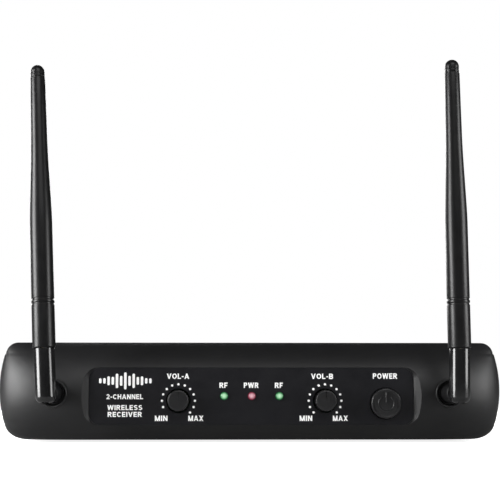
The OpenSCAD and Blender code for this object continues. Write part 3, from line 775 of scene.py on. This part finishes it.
def power_mark_outlines():
    """A ring that is open at the top, and an upright bar."""
    ring_r, half, gap = 3.05, 0.275, 38
    outer = arc(0, 0, ring_r + half, 90 + gap, 450 - gap, 48)
    inner = arc(0, 0, ring_r - half, 450 - gap, 90 + gap, 48)
    return outer + inner, [(p.x, p.y + 2.35) for p in rounded_rect(half, 2.05, 0.2, 4)]


def make_button():
    """Button cap with a shallow groove round its crowned face, and the raised power mark."""
    node = "power_button"
    front = low(node).y + 0.2
    back = high(node).y
    depth = back - front
    place_at = facing_front(BUTTON_X, back, BUTTON_Z)
    flange_r, edge = 7.4, 0.55
    profile = [(0, 0), (flange_r, 0), (flange_r, 1), (BUTTON_R, 1), (BUTTON_R, depth - 1.0)]
    profile += arc(BUTTON_R - edge, depth - edge - 0.2, edge, 0, 90, 6)
    profile += [(5.15, depth - 0.2), (4.95, depth - 0.32), (4.7, depth - 0.3), (3.6, depth - 0.17),
                (1.8, depth - 0.05), (0, depth)]
    button = lathe("power_button_cap", profile, place_at, 128)
    socket = prism("plunger_hole", rounded_rect(1.52, 1.52, 0.1, 2), -1, depth - 3.3, place_at)
    carve(button, socket)
    place(button, "power_key", "control_plastic", node, crease=40)
    ring, tick = power_mark_outlines()
    sunk = depth - 0.4
    raised_ring = prism("ring", ring, sunk, depth + 0.1, place_at)
    raised_tick = prism("tick", tick, sunk, depth + 0.16, place_at)
    mark = soften_edges(merge("power_button_mark", [raised_ring, raised_tick]), 0.08, 50, 1)
    place(mark, "power_key", "control_plastic", crease=40)


def make_lamp(name, node, slot):
    """Domed lamp whose object sits at its own axis, as the lit lens is drawn about it."""
    x, z = middle(node).x, middle(node).z
    front = low(node).y
    depth = high(node).y - front
    flange_r, barrel_l, dome = 1.9, 3.9, 1.0
    profile = [(0, 0), (flange_r, 0), (flange_r, depth - barrel_l), (LAMP_R, depth - barrel_l)]
    profile += arc(0, depth - dome, LAMP_R, 0, 90, 9, dome)
    lamp = lathe(name, profile, facing_front(0, depth, 0), 64)
    lamp.location = Vector((x, front, z)) * MM
    place(lamp, "root", slot, node, crease=50)


# ---- Printed legends ----


STROKE = 0.21                       # stroke of the lettering, as a share of its cap height
HALF = STROKE / 2
INK_T = 0.03                        # thickness of the printed ink


def bar(x0, y0, x1, y1, weight=STROKE):
    """Straight stroke with ends cut level, or cut upright on a stroke that lies flat."""
    half = weight / 2
    if y0 == y1:
        return [(x0, y0 - half), (x1, y0 - half), (x1, y0 + half), (x0, y0 + half)]
    half *= math.hypot(x1 - x0, y1 - y0) / abs(y1 - y0)
    return [(x0 - half, y0), (x0 + half, y0), (x1 + half, y1), (x1 - half, y1)]


def bow(x, y, reach_x, reach_y, start, end):
    """Curved stroke about (x, y), from one angle in degrees to another. The reaches are to its outside."""
    outer = arc(x, y, reach_x, start, end, 12, reach_y)
    return outer + arc(x, y, reach_x - STROKE, end, start, 12, reach_y - STROKE)


def bowl(low_y, high_y, reach):
    """Bowl of a P, R or B, from its stem at the left."""
    middle_y, half = (low_y + high_y) / 2, (high_y - low_y) / 2
    flat = reach - half
    return [bar(0, low_y + HALF, flat, low_y + HALF),
            bar(0, high_y - HALF, flat, high_y - HALF),
            bow(flat, middle_y, half, half, -90, 90)]


def stem(x):
    return bar(x + HALF, 0, x + HALF, 1)


def arm(y, reach):
    return bar(0, y, reach, y)


# Each letter's width as a share of its height, and its strokes
GLYPHS = {
    "A": (0.82, [bar(HALF, 0, 0.41, 1), bar(0.82 - HALF, 0, 0.41, 1), bar(0.18, 0.3, 0.64, 0.3, 0.17)]),
    "B": (0.72, [stem(0), *bowl(0.44, 1, 0.68), *bowl(0, 0.56, 0.72)]),
    "C": (0.76, [bow(0.4, 0.5, 0.4, 0.5, 42, 318)]),
    "D": (0.76, [stem(0), arm(HALF, 0.3), arm(1 - HALF, 0.3), bow(0.28, 0.5, 0.48, 0.5, -90, 90)]),
    "E": (0.62, [stem(0), arm(HALF, 0.62), arm(0.5, 0.57), arm(1 - HALF, 0.61)]),
    "F": (0.6, [stem(0), arm(0.47, 0.53), arm(1 - HALF, 0.6)]),
    "H": (0.72, [stem(0), stem(0.72 - STROKE), arm(0.52, 0.72)]),
    "I": (STROKE, [stem(0)]),
    "L": (0.58, [stem(0), arm(HALF, 0.58)]),
    "M": (0.88, [stem(0), stem(0.88 - STROKE), bar(HALF, 1, 0.44, 0), bar(0.88 - HALF, 1, 0.44, 0)]),
    "N": (0.74, [stem(0), stem(0.74 - STROKE), bar(HALF + 0.02, 1, 0.72 - HALF, 0)]),
    "O": (0.82, [bow(0.41, 0.5, 0.41, 0.5, -90, 90), bow(0.41, 0.5, 0.41, 0.5, 90, 270)]),
    "P": (0.68, [stem(0), *bowl(0.4, 1, 0.68)]),
    "R": (0.74, [stem(0), *bowl(0.42, 1, 0.7), bar(0.36, 0.5, 0.74 - HALF, 0)]),
    "S": (0.7, [bow(0.35, 0.715, 0.33, 0.285, 25, 270), bow(0.35, 0.285, 0.35, 0.285, -155, 90)]),
    "T": (0.66, [stem(0.33 - HALF), arm(1 - HALF, 0.66)]),
    "U": (0.72, [bar(HALF, 0.36, HALF, 1), bar(0.72 - HALF, 0.36, 0.72 - HALF, 1),
                 bow(0.36, 0.36, 0.36, 0.36, 180, 360)]),
    "V": (0.8, [bar(HALF, 1, 0.4, 0), bar(0.8 - HALF, 1, 0.4, 0)]),
    "W": (1.14, [bar(HALF, 1, 0.31, 0), bar(0.57, 1, 0.31, 0), bar(0.57, 1, 0.83, 0),
                 bar(1.14 - HALF, 1, 0.83, 0)]),
    "X": (0.78, [bar(0.12, 0, 0.66, 1), bar(0.66, 0, 0.12, 1)]),
    "2": (0.66, [bow(0.32, 0.69, 0.32, 0.31, -20, 165), bar(0.13, 0.1, 0.5, 0.55), arm(HALF, 0.66)]),
    "-": (0.34, [bar(0, 0.42, 0.34, 0.42)]),
}


def ink(outline):
    """Thin coat of ink on the panel, drawn in X and Z."""
    return along_y("ink", outline, PANEL_Y - INK_T, PANEL_Y)


def rear_ink(outline):
    """Thin coat of ink on the rear panel, for an outline that is read from behind."""
    return along_y("ink", [(-x, z) for x, z in outline], REAR_Y, REAR_Y + INK_T)


def lettering(text, x, z, height, width, coat=ink):
    """Bold generic lettering of a set cap height and width, centred on x and z, in a coat of ink."""
    gap = 0.13
    total = sum(GLYPHS[c][0] for c in text) + gap * (len(text) - 1)
    wide = width / total
    start = x - width / 2
    made = []
    for letter in text:
        advance, strokes = GLYPHS[letter]
        inked = [coat([(start + u * wide, z + (v - 0.5) * height) for u, v in stroke]) for stroke in strokes]
        made.append(fuse(inked[0], *inked[1:]))
        start += (advance + gap) * wide
    return made


def printed(name, pieces):
    place(merge(name, pieces), "root", "white_plastic", crease=40)


def dial(name, centre_x, missing=()):
    """Ring of dots round a volume knob, from MIN to MAX."""
    ring_r, dot_r, steps, sweep = 6.56, 0.475, 12, 270
    dots = []
    for k in range(steps + 1):
        if k in missing:
            continue
        turn = math.radians(sweep * (k / steps - 0.5))
        dot = circle(centre_x + ring_r * math.sin(turn), KNOB_Z + ring_r * math.cos(turn), dot_r, 20)
        dots.append(ink(dot))
    printed(name, dots)


def level_mark(x, z):
    """Generic audio level mark: a row of round-ended bars, tallest in the middle."""
    pitch, half_w, tallest, shortest = 1.66, 0.5, 3.4, 0.55
    bars = []
    for i in range(-6, 7):
        swell = math.cos(i * 0.24) ** 2 * (0.72 + 0.28 * math.cos(i * math.pi))
        outline = rounded_rect(half_w, max(tallest * (0.28 + 0.72 * swell), shortest), 0.45, 5)
        bars.append(ink([(x + pitch * i + p.x, z + p.y) for p in outline]))
    return bars


def make_legends():
    cap = 2.15
    dial("dial_dots_a", -KNOB_X, missing=(0,))
    dial("dial_dots_b", KNOB_X)
    for side, letter, shift in ((-1, "A", 0.2), (1, "B", 1.1)):
        printed("dial_words_" + letter.lower(), [
            *lettering("VOL-" + letter, side * KNOB_X - shift, PANEL_Z + 7.95, cap, 8.9),
            *lettering("MIN", side * KNOB_X - 6.6 - shift, PANEL_Z - 8.75, cap, 5.05),
            *lettering("MAX", side * KNOB_X + 7.15 - shift, PANEL_Z - 8.75, cap, 6.0)])
    printed("lamp_words", [
        *lettering("RF", -LAMP_PITCH - 0.25, LAMP_Z + 4.25, cap, 3.25),
        *lettering("PWR", -0.25, LAMP_Z + 4.25, cap, 5.9),
        *lettering("RF", LAMP_PITCH - 0.25, LAMP_Z + 4.25, cap, 3.25)])
    printed("power_word", lettering("POWER", BUTTON_X - 0.1, PANEL_Z + 8.05, 2.2, 9.8))
    printed("level_mark", level_mark(-50.4, PANEL_Z + 6.1))
    printed("title_words", [
        *lettering("2-CHANNEL", -50.6, PANEL_Z - 0.2, 1.95, 14.6),
        *lettering("WIRELESS", -50.5, PANEL_Z - 4.5, 2.0, 13.9),
        *lettering("RECEIVER", -50.5, PANEL_Z - 7.2, 2.0, 13.6)])
    jack, inlet = middle("audio_jack_nut"), middle("dc_jack_pin")
    printed("rear_words", [
        *lettering("AUDIO", -jack.x, jack.z + 10.2, 2.1, 9.4, rear_ink),
        *lettering("OUT", -jack.x, jack.z - 10.2, 2.1, 5.9, rear_ink),
        *lettering("DC-IN", -inlet.x, inlet.z + 8.2, 2.1, 8.4, rear_ink)])


# ---- Antennas ----


STUB_R = 4
SLEEVE_R = 4.4
PIN_R = 0.75
# Turns a frame so that its third axis lies along the hinge pin
ACROSS = Matrix.Rotation(math.pi / 2, 4, "Z") @ Matrix.Rotation(math.pi / 2, 4, "X")


def node_points(node):
    return np.array([v.co for v in frame["nodes"][node].data.vertices]) / MM


def rod_ends(node):
    """Middle points of the two ends of a long round node, lowest first."""
    points = node_points(node)
    centre = points.mean(0)
    axis = np.linalg.svd(points - centre, full_matrices=False)[2][0]
    axis = axis if axis[2] > 0 else -axis
    along = (points - centre) @ axis
    reach = 0.2
    ends = [points[along < along.min() + reach].mean(0), points[along > along.max() - reach].mean(0)]
    return [Vector(end) for end in ends]


def span(node, place_at):
    """Lowest and highest point of a node along a frame's third axis."""
    axis = np.array(place_at.to_3x3().col[2])
    along = (node_points(node) - np.array(place_at.translation)) @ axis
    return float(along.min()), float(along.max())


def antenna_frames(side):
    """Frames of the hub, the stub and the whip, with their origins at the hinge pin."""
    joint = next(j for j in frame["joints"] if j["name"] == side + "_antenna_tilt")
    pivot = Vector(joint["pos_m"]) / MM
    right = Vector(joint["axis"])
    tilt = math.radians(90 - joint["range_deg"][1])
    hub = axis_frame(pivot, right.cross(Vector((0, 1, 0))), right)
    stub = hub @ Matrix.Rotation(tilt, 4, "X")
    bottom, top = rod_ends(side + "_radiator")
    direction = (top - bottom).normalized()
    stub_top = span(side + "_antenna_stub", stub)[1]
    neck = stub @ Vector((0, 0, stub_top))
    whip = axis_frame(neck - direction * stub_top, direction, right)
    return hub, stub, whip


def make_hub(side, hub):
    """Swivel hub: tongue, neck, collar and the journal in the bezel's boss."""
    pivot_y = hub.translation.y
    socket, boss = SOCKET_FLOOR_Y - pivot_y - 0.1, BOSS_END_Y - pivot_y + 0.1
    end = high(side + "_swivel_hub").y - pivot_y
    along = hub @ Matrix.Rotation(math.radians(-90), 4, "X")
    neck_r, neck_front, collar_r, collar_t, thread_r = 3.7, 5.2, 4.4, 1.2, 2.6
    collar = socket - collar_t
    profile = fillet([
        (0, neck_front, 0), (neck_r, neck_front, 0.6), (neck_r, collar, 0.25), (collar_r, collar, 0.25),
        (collar_r, socket, 0.1), (JOURNAL_R, socket, 0), (JOURNAL_R, boss, 0), (thread_r, boss, 0),
        (thread_r, end, 0.3), (0, end, 0)], closed=False)
    neck = lathe(side + "_hub_moulding", profile, along, 72)
    tongue_r, half_t = 2.6, 1.2
    outline = arc(0, 0, tongue_r, 90, 270, 24) + [(neck_front + 1, -tongue_r), (neck_front + 1, tongue_r)]
    across = hub @ ACROSS
    tongue = soften_edges(prism("tongue", outline, -half_t, half_t, across), 0.2, 40)
    pin = prism("pin", circle(0, 0, PIN_R + 0.05, 24), -3, 3, across)
    fuse(neck, tongue)
    carve(neck, pin)
    place(neck, side + "_swivel", "antenna_plastic", side + "_swivel_hub")


def make_stub(side, stub, body):
    """Glossy stub with a rounded foot, and a slot for the hub's tongue."""
    top = span(side + "_antenna_stub", stub)[1]
    edge = 2.4
    profile = [(0, -STUB_R), *arc(STUB_R - edge, edge - STUB_R, edge, -90, 0, 12)[:-1]]
    profile += fillet([(STUB_R, edge - STUB_R, 0), (STUB_R, top, 0.25), (0, top, 0)], closed=False)
    piece = lathe(side + "_gloss_stub", profile, stub, 96)
    across = stub @ ACROSS
    reach = STUB_R + 1
    slot_r, rear_top, half_slot, bore_r, bore_start = 2.8, 3.05, 1.3, 1.3, 5.9
    front = arc(0, 0, slot_r, 90, 180, 12)
    outline = [(reach, rear_top), (0, rear_top), *front, (-slot_r, -reach), (reach, -reach)]
    slot = prism("hinge_slot", outline, -half_slot, half_slot, across)
    pin = prism("pin", circle(0, 0, PIN_R + 0.03, 24), -reach, reach, across)
    bore = prism("bore", circle(0, 0, bore_r, 24), bore_start, top + 1, stub)
    carve(piece, slot, pin, bore)
    place(piece, body, "antenna_gloss", side + "_antenna_stub")


def rubber_corners(side, whip):
    """Outer corners of the sleeve, the grooved ring and the tapering whip."""
    start, end = span(side + "_antenna_sleeve", whip)
    sleeve = [(SLEEVE_R, start, 0.35), (SLEEVE_R, end, 0.2)]
    start, end = span(side + "_antenna_ring", whip)
    groove_r, rise = SLEEVE_R - 0.28, (end - start) / 3.4
    ring = [(groove_r, start, 0), (groove_r, start + rise * 0.8, 0.15), (SLEEVE_R, start + rise * 1.1, 0.2),
            (SLEEVE_R, end - rise * 1.1, 0.2), (groove_r, end - rise * 0.8, 0.15), (groove_r, end, 0)]
    start, end = span(side + "_antenna_whip", whip)
    base_r, taper_r, slim_r, top_r = 4.37, 3.27, 3.07, 2.95
    tapered = [(base_r, start, 0.25), (base_r, 68.6, 200), (taper_r, 95.4, 400), (slim_r, 113.4, 0),
               (top_r, end, 0.1)]
    return {"sleeve": sleeve, "ring": ring, "whip": tapered}


def tip_profile(start, end):
    """Round-nosed tip with two grooves near its foot."""
    nose_r, neck_r = 2.78, 2.6
    profile = fillet([(0, start, 0), (neck_r, start, 0), (neck_r, start + 0.4, 0), (nose_r, start + 0.5, 0.1),
                      (nose_r, start + 1.4, 0.15), (neck_r, start + 1.55, 0.1), (neck_r, start + 1.85, 0.1),
                      (nose_r, start + 2.0, 0.1)], closed=False, steps=3)
    return profile + arc(0, end - nose_r, nose_r, 0, 90, 16)


def make_whip(side, whip, body):
    """The rubber pieces, hollow round the radiator, and the tip."""
    bore = 0.9
    for name, corners in rubber_corners(side, whip).items():
        low_z, high_z = corners[0][1], corners[-1][1]
        profile = fillet([(bore, low_z, 0), *corners, (bore, high_z, 0)], steps=8)
        piece = lathe(side + "_rubber_" + name, profile, whip, 96, closed=True)
        place(piece, body, "antenna_rubber", side + "_antenna_" + name, crease=30)
    tip = lathe(side + "_rubber_tip", tip_profile(*span(side + "_antenna_tip", whip)), whip, 96)
    place(tip, body, "antenna_rubber", side + "_antenna_tip", crease=30)


def make_antennas():
    places = []
    for side in ("left", "right"):
        hub, stub, whip = antenna_frames(side)
        make_hub(side, hub)
        make_stub(side, stub, side + "_antenna")
        make_whip(side, whip, side + "_antenna")
        places.append((hub.translation.x, hub.translation.z))
    return places


# ---- CAD nodes that stay ----


def dress_frame():
    """Gives every CAD node its finish, and small rounded edges to the ones that show."""
    for obj in frame["nodes"].values():
        slot = obj.data.materials[0].name
        paint(obj, slot)
        if obj.hide_render:
            continue
        weld = obj.modifiers.new("weld", "WELD")
        weld.merge_threshold = 0.001 * MM
        add_bevel(obj, 0.12, 40)
        shade(obj)
        obj.modifiers.new("flat_faces", "WEIGHTED_NORMAL").keep_sharp = True


# ---- Camera, lights and floor ----


def make_camera():
    """Camera a little left of the middle and about level with the knobs, looking slightly up."""
    data = bpy.data.cameras.new("camera")
    data.lens = 72
    data.sensor_width = 36
    data.shift_x = 0.0303
    data.shift_y = 0.125
    data.clip_start = 0.01
    left, distance, height = 15.5, 400, 17.1
    pitch, turn = math.radians(95), math.radians(-1.25)
    camera = link("camera", data)
    camera.location = Vector((-left, PANEL_Y - distance, height)) * MM
    camera.rotation_euler = (pitch, 0, turn)
    bpy.context.scene.camera = camera


def softbox(name, azimuth, distance, height, size, power, aim_z):
    """Area light, placed in metres and aimed at aim_z on the Z axis. Azimuth 0 is in front, 90 right."""
    data = bpy.data.lights.new(name, "AREA")
    data.shape = "RECTANGLE"
    data.size, data.size_y = size
    data.energy = power
    light = link(name, data)
    turn = math.radians(azimuth)
    light.location = (distance * math.sin(turn), -distance * math.cos(turn), height)
    aim = Vector((0, 0, aim_z)) - light.location
    light.rotation_euler = aim.to_track_quat("-Z", "Y").to_euler()
    light.visible_camera = False


def make_lights():
    softbox("softbox_left", -67, 0.5, 0.17, (0.22, 0.32), 4.4, 0.17)
    softbox("softbox_right", 65, 0.5, 0.15, (0.2, 0.26), 1.55, 0.15)
    softbox("softbox_top", 10, 0.9, 0.8, (0.8, 0.5), 4.6, 0.03)
    softbox("softbox_back", 195, 1.2, 0.5, (1.2, 0.6), 14, 0.03)


def make_world():
    """White to the camera, and a dim even light to everything else."""
    world = bpy.data.worlds.new("studio")
    bpy.context.scene.world = world
    world.use_nodes = True
    tree = world.node_tree
    tree.nodes.clear()
    seen = tree.nodes.new("ShaderNodeBackground")
    seen.inputs["Color"].default_value = (1, 1, 1, 1)
    lit = tree.nodes.new("ShaderNodeBackground")
    lit.inputs["Color"].default_value = (1, 1, 1, 1)
    lit.inputs["Strength"].default_value = 0.045
    path = tree.nodes.new("ShaderNodeLightPath")
    choose = tree.nodes.new("ShaderNodeMixShader")
    output = tree.nodes.new("ShaderNodeOutputWorld")
    tree.links.new(path.outputs["Is Camera Ray"], choose.inputs[0])
    tree.links.new(lit.outputs[0], choose.inputs[1])
    tree.links.new(seen.outputs[0], choose.inputs[2])
    tree.links.new(choose.outputs[0], output.inputs["Surface"])


def make_floor():
    """Pale floor that glows nearly white to the camera with painted light, less of it within 0.6 m of the
    middle so that the shadow of the case still shows. To every other ray it is a mid grey that gives no
    light.
    """
    reach = 4.0
    mesh = bpy.data.meshes.new("floor")
    mesh.from_pydata([(-reach, -reach, 0), (reach, -reach, 0), (reach, reach, 0), (-reach, reach, 0)],
                     [], [(0, 1, 2, 3)])
    floor = link("floor", mesh)
    n = Nodes("floor")
    n.shader.inputs["Roughness"].default_value = 0.9
    n.shader.inputs["Specular IOR Level"].default_value = 0.0
    n.shader.inputs["Emission Color"].default_value = (1, 1, 1, 1)
    seen = n.add("LightPath").outputs["Is Camera Ray"]
    n.set(n.shader, "Base Color", n.mix(seen, (0.5, 0.5, 0.5, 1), (0.9, 0.9, 0.9, 1)))
    # Painted light: the floor's glow to the camera, weaker towards the middle.
    distance = n.add("VectorMath", operation="LENGTH", Vector=n.place).outputs["Value"]
    n.set(n.shader, "Emission Strength", n.times(seen, n.remap(distance, 0.85, 1.0, 0.15, 0.6)))
    mesh.materials.append(n.material)


make_camera()
make_world()
make_lights()
make_floor()
make_bezel(make_antennas())
make_film()
make_top_cover()
make_bottom_case()
make_knob("volume_dial_a", "volume_knob_a", "volume_a")
make_knob("volume_dial_b", "volume_knob_b", "volume_b")
make_button()
make_lamp("signal_lamp_a", "lamp_rf_a", "green_lamp")
make_lamp("power_lamp", "lamp_power", "red_lamp")
make_lamp("signal_lamp_b", "lamp_rf_b", "green_lamp")
make_legends()
dress_frame()
bpy.context.scene.view_settings.view_transform = "Standard"
